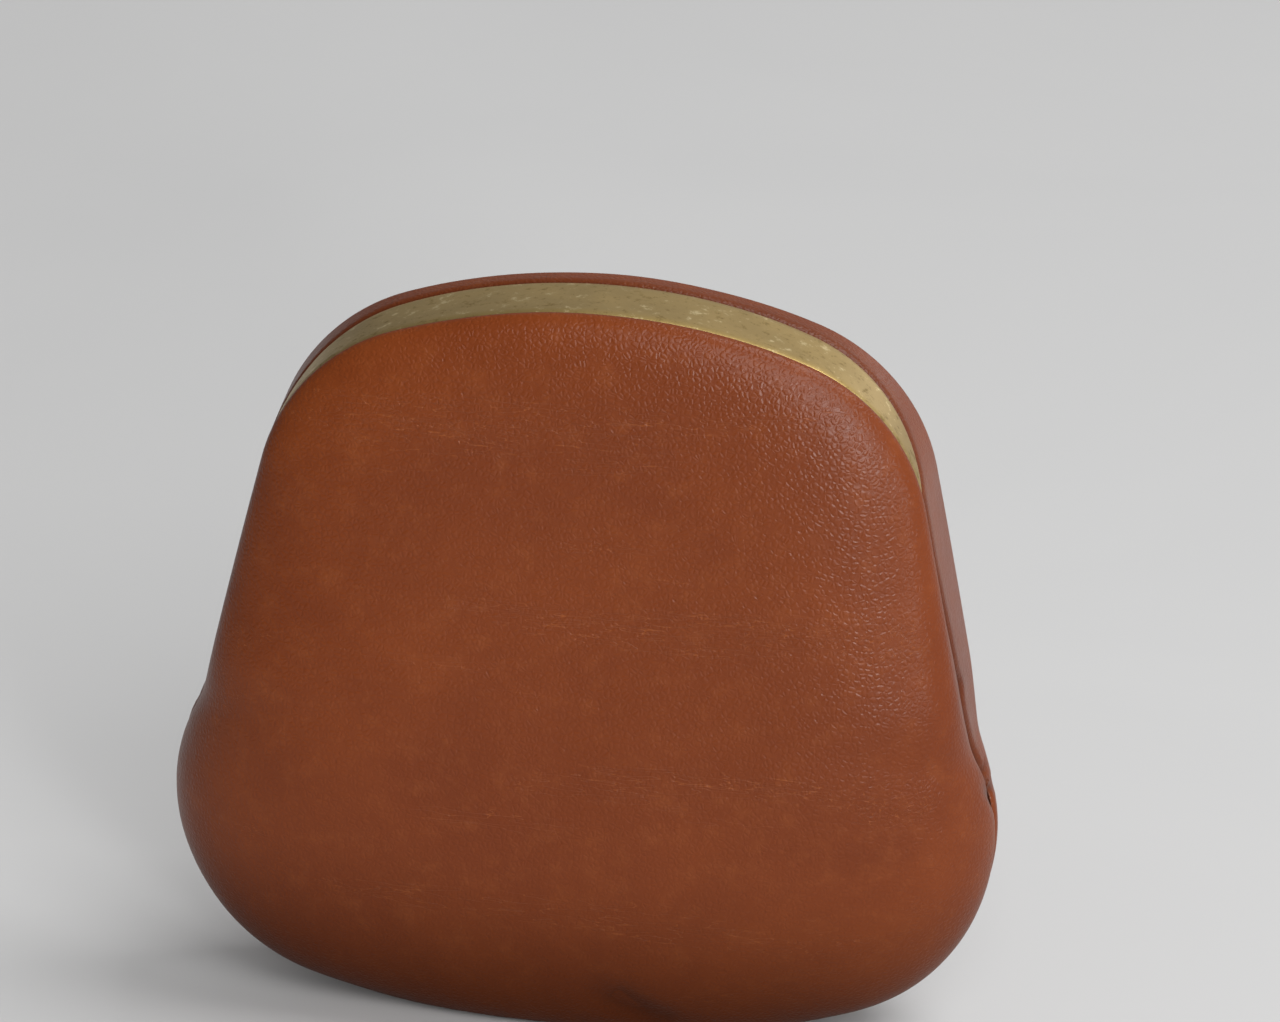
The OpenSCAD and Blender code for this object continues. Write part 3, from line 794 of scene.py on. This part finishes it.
@dataclass
class LeatherHalf:
    """One outer half of the purse, from the mouth over the fold to the pouch."""

    form: PurseForm
    side: Side
    body: str
    covers: tuple[str, ...]
    thickness: float = 1.6
    edge_gap: float = 0.3
    edge_round: float = 0.6
    pillow: Pillow = SOFT_FRONT
    skived: float = 0.25
    round_limit: float = 0.85
    columns: int = 360
    face_rings: int = 40
    strip_rows: int = 12
    round_rows: int = 5
    inner_rings: int = 14
    ease: float = 2.0
    fold_low: float = 41.5
    fold_high: float = 51.0
    burnish: float = 1.1
    notch: float = 0.0
    notch_z: float = 45.8
    notch_half: float = 1.5
    wobble: float = 0.22
    wobble_size: float = 13
    wobble_firm: float = 0.35
    firm_low: float = 36
    firm_rise: float = 14
    base_rise: float = 3
    seam_dip: float = 0.75
    seam_width: float = 1.1
    creases: tuple[Crease, ...] = ()
    # Strength of the painted shade in the creases.
    crease_shade: float = 0.9

    def edge_y(self, s: float, z: float) -> float:
        """Returns the depth of the leather's cut edge at a place on the outline."""
        middle = self.form.groove_y(z)
        if self.side is Side.FRONT:
            return middle - self.edge_gap / 2
        slot = self.notch * math.exp(-((z - self.notch_z) / self.notch_half) ** 2)
        return middle + self.edge_gap / 2 + self.form.bare(s) + slot

    def _face(self, weave: Weave, stations: list[float], inset: float, rings: int,
              outward: bool) -> None:
        """Adds the loops of a face.

        Args:
            weave: The skin to add to.
            stations: Lengths along the outline.
            inset: How far inside the outer surface.
            rings: Number of loops.
            outward: Whether the loops run from the middle to the rim.
        """
        shares = eased_shares(rings, self.ease)
        for t in shares if outward else reversed(shares):
            weave.add([self.skin_point(s, inset, t) for s in stations])

    def skin_point(self, s: float, inset: float, t: float) -> Point:
        """Places a point of the leather's face.

        Args:
            s: Length along the outline.
            inset: How far inside the outer surface, 0 on it.
            t: Share of the way from the middle to the rim.

        Returns:
            The point in millimetres.
        """
        px, pz = self.form.station(s).inward(inset)
        z = mix(self.form.hinge_z, pz, t)
        outer = self.form.depth(z, 0.0, t, self.pillow)
        depth = outer if inset == 0 else min(self.form.depth(z, inset, t), outer - self.skived)
        return px * t, self.side.value * depth, self.form.settle(z, inset)

    def _strip(self, weave: Weave, stations: list[float]) -> None:
        """Adds the side strip, its rounded cut edge and the inside of the strip."""
        spots = [(self.form.station(s), s) for s in stations]
        sign = -self.side.value
        reach = []
        for spot, s in spots:
            rim = self.side.value * self.form.rim_depth(spot.z, self.pillow)
            edge = self.edge_y(s, spot.z)
            reach.append((edge, rim, min(self.edge_round, self.round_limit * abs(rim - edge))))

        def loop(inset_y: Callable[[float, float, float], tuple[float, float]]) -> None:
            """Adds one loop from a rule for its inset and depth."""
            points, marks = [], []
            for (spot, _), (edge, rim, r) in zip(spots, reach):
                inset, y = inset_y(edge, rim, r)
                x, z = spot.inward(inset)
                points.append((x, y, self.form.settle(z, inset)))
                marks.append(math.exp(-abs(edge - y) / self.burnish))
            weave.add(points, marks)

        for k in range(1, self.strip_rows + 1):
            t = k / self.strip_rows
            loop(lambda edge, rim, r, t=t: (0.0, mix(rim, edge - sign * r, t)))
        for k in range(1, self.round_rows + 1):
            a = math.pi / 2 * k / self.round_rows
            loop(lambda edge, rim, r, a=a: (r * (1 - math.cos(a)),
                                            edge - sign * r * (1 - math.sin(a))))
        for k in range(1, 3):
            loop(lambda edge, rim, r, k=k: (mix(r, self.thickness, k / 2), edge))
        for k in range(1, self.strip_rows // 2):
            t = k / (self.strip_rows // 2)
            loop(lambda edge, rim, r, t=t: (self.thickness, mix(edge, rim, t)))

    def _shift(self, spot: Vector) -> float:
        """Returns how far the leather moves at a place, from wobble, seam and creases."""
        low = 1 - smooth((spot.z - self.firm_low) / self.firm_rise)
        start = (3.1, 0.0, 7.7) if self.side is Side.REAR else (0.0, 5.3, 1.9)
        wave = noise.noise(spot / self.wobble_size + Vector(start))
        near = (spot.y - self.form.groove_y(spot.z)) / self.seam_width
        seam = -self.seam_dip * (1 - self.form.seam_mix(spot.z)) * math.exp(-near * near)
        lift = smooth(spot.z / self.base_rise)
        return (self.wobble * wave * mix(self.wobble_firm, 1.0, low) * lift + seam * lift
                - sum(c.depth * c.share(spot) for c in self.creases))

    def _paint_crease_shade(self, mesh: bpy.types.Mesh) -> None:
        """Paints shade into the creases of the outer skin: their marks are raised, so the leather
        there is painted darker.
        """
        marks = mesh.attributes["cut_edge_and_crease_shade"].data
        for vert, mark in zip(mesh.vertices, marks):
            spot = vert.co / MM
            for crease in self.creases:
                mark.value = max(mark.value, self.crease_shade * crease.share(spot))

    def build(self, finish: bpy.types.Material) -> bpy.types.Object:
        """Builds the half.

        Args:
            finish: The leather.

        Returns:
            The finished piece.
        """
        stations = self.form.around(self.columns)
        weave = Weave()
        self._face(weave, stations, 0.0, self.face_rings, True)
        self._strip(weave, stations)
        self._face(weave, stations, self.thickness, self.inner_rings, False)
        tips = [self.skin_point(0.0, inset, 0.0) for inset in (0.0, self.thickness)]
        name = f"leather_{self.side.name.lower()}"
        mesh = weave.mesh(name, tips[0], tips[1])
        # Painted shade in the creases.
        self._paint_crease_shade(mesh)
        move_along_normals(mesh, self._shift)
        piece = place(name, mesh)
        mesh.materials.append(finish)
        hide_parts(*self.covers)
        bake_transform(piece)
        return piece


@dataclass
class LiningHalf:
    """One half of the lining, glued behind the board above and loose in the pouch below."""

    form: PurseForm
    side: Side
    body: str
    covers: tuple[str, ...]
    thickness: float = 0.7
    mouth_inset: float = 2.7
    mouth_margin: float = 6.9
    pouch_inset: float = 4.35
    seam_gap: float = 0.15
    turn_low: float = 41.0
    turn_high: float = 50.0
    tuck_turn: float = 3
    columns: int = 240
    rings: int = 26
    ease: float = 1.7
    wobble: float = 0.3

    def _blend_up(self, z: float) -> float:
        """Returns 0 in the pouch and 1 behind the board."""
        return smooth((z - self.turn_low) / (self.turn_high - self.turn_low))

    def _loop(self, stations: list[float], extra: float, t: float) -> list[Point]:
        """Places one loop of the lining.

        Args:
            stations: Lengths along the outline.
            extra: How far inside the lining's outer face.
            t: Share of the way from the middle to the rim.

        Returns:
            The points.
        """
        points = []
        for s in stations:
            up = self._blend_up(self.form.station(s).z)
            margin = mix(self.pouch_inset, self.mouth_margin, up) + extra
            px, pz = self.form.station(s).inward(margin)
            z = mix(self.form.hinge_z, pz, t)
            inset = mix(self.pouch_inset, self.mouth_inset, self._blend_up(z)) + extra
            points.append((px * t, self.side.value * self.form.depth(z, inset, t),
                           self.form.settle(z, margin)))
        return points

    def build(self, finish: bpy.types.Material) -> bpy.types.Object:
        """Builds the half.

        Args:
            finish: The lining leather.

        Returns:
            The finished piece.
        """
        stations = self.form.around(self.columns)
        weave = Weave()
        shares = eased_shares(self.rings, self.ease)
        for t in shares:
            weave.add(self._loop(stations, 0.0, t))
        for extra in (0.0, self.thickness):
            rim = weave.loops[-1] if extra == 0.0 else self._loop(stations, extra, 1.0)
            tuck = []
            for (x, y, z), s in zip(rim, stations):
                up = self._blend_up(self.form.station(s).z)
                edge = self.side.value * self.seam_gap
                tuck.append((x, mix(edge, y, smooth(up * self.tuck_turn)), z))
            weave.add(tuck)
            if extra:
                weave.add(rim)
        for t in reversed(shares[:-1]):
            weave.add(self._loop(stations, self.thickness, t))
        height = self.form.hinge_z
        inset = mix(self.pouch_inset, self.mouth_inset, self._blend_up(height))
        tips = [(0.0, self.side.value * self.form.depth(height, inset + extra, 0.0), height)
                for extra in (0.0, self.thickness)]
        name = f"lining_{self.side.name.lower()}"
        mesh = weave.mesh(name, tips[0], tips[1])
        piece = place(name, mesh)
        mesh.materials.append(finish)
        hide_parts(*self.covers)
        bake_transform(piece)
        return piece


# ---------------------------------------------------------------- metal


@dataclass
class BrassCrescent:
    """The polished outer skin of the bare brass along the crown."""

    form: PurseForm
    front_gap: float = 0.05
    under_leather: float = 0.5
    crown_inset: float = 0.1
    edge_inset: float = 0.38
    back_inset: float = 0.7
    edge_width: float = 0.9
    columns: int = 220
    rows: int = 18
    end_trim: float = 0.25

    def build(self, finish: bpy.types.Material) -> bpy.types.Object:
        """Builds the crescent.

        Args:
            finish: The brass.

        Returns:
            The finished piece.
        """
        reach = self.form.bare_reach - self.end_trim
        weave = Weave()
        for i in range(self.columns + 1):
            s = mix(-reach, reach, i / self.columns)
            spot = self.form.station(s)
            low = self.form.groove_y(spot.z) + self.front_gap
            high = self.form.groove_y(spot.z) + self.form.bare(s) + self.under_leather
            loop: list[Point] = []
            for k in range(self.rows + 1):
                y = mix(low, high, (1 - math.cos(math.pi * k / self.rows)) / 2)
                near = min(y - low, high - y) / self.edge_width
                inset = mix(self.edge_inset, self.crown_inset, math.sqrt(min(1.0, max(0.0, near))))
                x, z = spot.inward(inset)
                loop.append((x, y, z))
            x, z = spot.inward(self.back_inset)
            loop += [(x, mix(high, low, k / 3), z) for k in range(4)]
            weave.add(loop)
        middle = [tuple(sum(c) / len(loop) for c in zip(*loop))
                  for loop in (weave.loops[0], weave.loops[-1])]
        mesh = weave.mesh("brass_crescent", middle[0], middle[1])
        piece = place("brass_crescent", mesh)
        mesh.materials.append(finish)
        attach(piece, "rear_half")
        return piece


@dataclass
class RivetButton:
    """The turned end of a hinge rivet, seen in the slot between the leather halves."""

    form: PurseForm
    hand: int
    y: float = -2.15
    z: float = 45.8
    radius: float = 1.15
    foot_inset: float = 1.9
    top_inset: float = 0.75
    wall_share: float = 0.45
    columns: int = 40
    rings: int = 8

    def build(self, finish: bpy.types.Material) -> bpy.types.Object:
        """Builds the button.

        Args:
            finish: The steel.

        Returns:
            The finished piece.
        """
        lean = math.radians(self.form.side_lean)
        out = Vector((self.hand * math.cos(lean), 0.0, math.sin(lean)))
        up = Vector((-self.hand * math.sin(lean), 0.0, math.cos(lean)))
        side_x = self.form.hinge_w / 2 - (self.z - self.form.hinge_z) * math.tan(lean)
        skin = Vector((self.hand * side_x, self.y, self.z))
        dome = self.foot_inset - self.top_inset
        weave = Weave()
        profile = [(self.radius, 0.0)] + [
            (self.radius * math.cos(a), dome * mix(self.wall_share, 1, math.sin(a)))
            for a in (math.pi / 2 * k / self.rings for k in range(self.rings))]
        turns = [2 * math.pi * i / self.columns for i in range(self.columns)]
        for r, high in profile:
            foot = skin + out * (high - self.foot_inset)
            weave.add([tuple(foot + (up * math.sin(a) + Vector((0, 1, 0)) * math.cos(a)) * r)
                       for a in turns])
        name = "rivet_button_right" if self.hand > 0 else "rivet_button_left"
        mesh = weave.mesh(name, tuple(skin - out * self.foot_inset),
                          tuple(skin - out * self.top_inset))
        piece = place(name, mesh)
        mesh.materials.append(finish)
        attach(piece, "rear_half")
        return piece


# ---------------------------------------------------------------- studio


@dataclass(frozen=True)
class SoftBox:
    """A soft studio light."""

    name: str
    place_at: Point
    aim: Point
    size: tuple[float, float]
    power: float

    def hang(self) -> None:
        """Hangs the light and turns it to its aim."""
        data = bpy.data.lights.new(self.name, "AREA")
        data.shape = "RECTANGLE"
        data.size, data.size_y = self.size
        data.energy = self.power
        lamp = bpy.data.objects.new(self.name, data)
        bpy.context.scene.collection.objects.link(lamp)
        lamp.location = self.place_at
        lamp.rotation_mode = "QUATERNION"
        way = Vector(self.aim) - Vector(self.place_at)
        lamp.rotation_quaternion = way.to_track_quat("-Z", "Y")


@dataclass
class Studio:
    """Camera, floor and lights."""

    azimuth: float = 6.5
    elevation: float = 21.8
    roll: float = -2.3
    frame_w: float = 150.94
    pivot_z: float = 45.0
    aim_right: float = 5.65
    aim_up: float = 16.75
    lens: float = 300.0
    sensor: float = 36.0
    floor_half: float = 6.0
    ambient_low: float = 0.16
    ambient_high: float = 0.70
    bright_way: Point = (0.85, 0.45, 0.27)
    lights: tuple[SoftBox, ...] = (
        SoftBox("key_softbox", (0.55, -1.28, 0.38), (0.0, 0.0, 0.05), (0.20, 0.24), 6.5),
        SoftBox("window_softbox", (0.46, -1.02, 0.92), (0.0, 0.0, 0.04), (0.9, 0.7), 9.8),
        SoftBox("top_softbox", (0.62, 0.10, 1.28), (0.0, 0.0, 0.04), (0.85, 0.85), 10.5),
        SoftBox("side_softbox", (1.15, -0.85, 0.14), (0.0, 0.0, 0.05), (0.16, 0.26), 2.2),
        SoftBox("rim_softbox", (0.75, 1.60, 0.36), (0.0, 0.0, 0.06), (0.5, 0.4), 0.6),
    )

    def camera(self) -> None:
        """Sets up the camera, turned and aimed as the view needs."""
        az, el, roll = (math.radians(a) for a in (self.azimuth, self.elevation, self.roll))
        right = Vector((math.cos(az), math.sin(az), 0.0))
        up = Vector((-math.sin(az) * math.sin(el), math.cos(az) * math.sin(el), math.cos(el)))
        back = Vector((math.sin(az) * math.cos(el), -math.cos(az) * math.cos(el), math.sin(el)))
        right, up = (right * math.cos(roll) - up * math.sin(roll),
                     right * math.sin(roll) + up * math.cos(roll))
        data = bpy.data.cameras.new("long_lens")
        data.lens, data.sensor_width = self.lens, self.sensor
        data.clip_start, data.clip_end = 0.05, 20.0
        camera = bpy.data.objects.new("long_lens", data)
        bpy.context.scene.collection.objects.link(camera)
        aim = (Vector((0, 0, self.pivot_z)) + right * self.aim_right + up * self.aim_up) * MM
        distance = self.frame_w * MM * self.lens / self.sensor
        turn = Matrix((right, up, back)).transposed().to_4x4()
        camera.matrix_world = Matrix.Translation(aim + back * distance) @ turn
        bpy.context.scene.camera = camera

    def floor(self, finish: bpy.types.Material) -> None:
        """Lays the floor.

        Args:
            finish: Its paint.
        """
        bm = bmesh.new()
        bmesh.ops.create_grid(bm, x_segments=24, y_segments=24, size=self.floor_half)
        mesh = bpy.data.meshes.new("floor")
        bm.to_mesh(mesh)
        bm.free()
        mesh.materials.append(finish)
        place("floor", mesh)

    def light(self) -> None:
        """Lights the scene."""
        scene = bpy.context.scene
        world = bpy.data.worlds.new("studio_air")
        world.use_nodes = True
        graph = Graph(world.node_tree)
        sky = world.node_tree.nodes["Background"]
        sky.inputs["Color"].default_value = (1.0, 1.0, 1.0, 1.0)
        way = graph.add("TexCoord").outputs["Generated"]
        toward = graph.add("VectorMath", {0: way, 1: self.bright_way}, operation="DOT_PRODUCT")
        graph.join(graph.remap(toward.outputs["Value"], -0.1, 1.0, self.ambient_low,
                               self.ambient_high), sky.inputs["Strength"])
        scene.world = world
        scene.view_settings.view_transform = "Standard"
        for lamp in self.lights:
            lamp.hang()


# ---------------------------------------------------------------- assembly


def dress_nodes(finishes: Finishes) -> None:
    """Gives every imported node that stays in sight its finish.

    Args:
        finishes: The materials.
    """
    by_node = {
        "front_frame": finishes.brass, "rear_frame": finishes.brass,
        "left_hinge_rivet": finishes.steel, "right_hinge_rivet": finishes.steel,
        "left_hinge_washer": finishes.steel, "right_hinge_washer": finishes.steel,
        "front_stiffener": finishes.board, "rear_stiffener": finishes.board,
        "seam_binding": finishes.binding, "seam_stitches": finishes.thread,
    }
    for name, finish in by_node.items():
        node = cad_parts[name]
        node.data.materials.clear()
        node.data.materials.append(finish)
        LOG.info("dressed %s in %s", name, finish.name)


def main() -> None:
    """Builds the purse and its studio."""
    logging.basicConfig(level=logging.INFO, format="%(name)s: %(message)s")
    form, finishes, studio = PurseForm(), Finishes(), Studio()
    studio.camera()
    studio.floor(finishes.floor)
    studio.light()
    dress_nodes(finishes)
    front_creases = (
        Crease((4.6, -12.8, 6.6), (12.6, -10.5, 1.4), 2.3, 0.75),
        Crease((46.6, -3.2, 33.4), (48.4, -0.8, 30.5), 0.9, 0.5),
    )
    rear_creases = (
        Crease((48.0, -1.0, 34.2), (44.0, 8.0, 33.6), 0.65, 0.6),
        Crease((48.6, 0.0, 31.9), (45.5, 7.5, 31.0), 0.65, 0.5),
        Crease((-47.8, -1.0, 34.0), (-44.0, 9.0, 34.6), 0.7, 0.6),
    )
    halves = (
        LeatherHalf(form, Side.FRONT, "front_half", ("front_cover", "front_fold", "pouch_front"),
                    edge_round=1.4, creases=front_creases),
        LeatherHalf(form, Side.REAR, "rear_half", ("rear_cover", "rear_fold", "pouch_rear"),
                    edge_round=1.45, notch=1.5, pillow=SOFT_REAR,
                    creases=rear_creases),
    )
    linings = (
        LiningHalf(form, Side.FRONT, "front_half", ("front_lining", "pouch_lining_front")),
        LiningHalf(form, Side.REAR, "rear_half", ("rear_lining", "pouch_lining_rear")),
    )
    pieces = [half.build(finishes.tan) for half in halves]
    pieces += [lining.build(finishes.lining) for lining in linings]
    pieces.append(BrassCrescent(form).build(finishes.brass))
    pieces += [RivetButton(form, hand).build(finishes.steel) for hand in (-1, 1)]
    for piece in pieces:
        LOG.info("built %s with %d vertices", piece.name, len(piece.data.vertices))


if __name__ == "__main__":
    main()
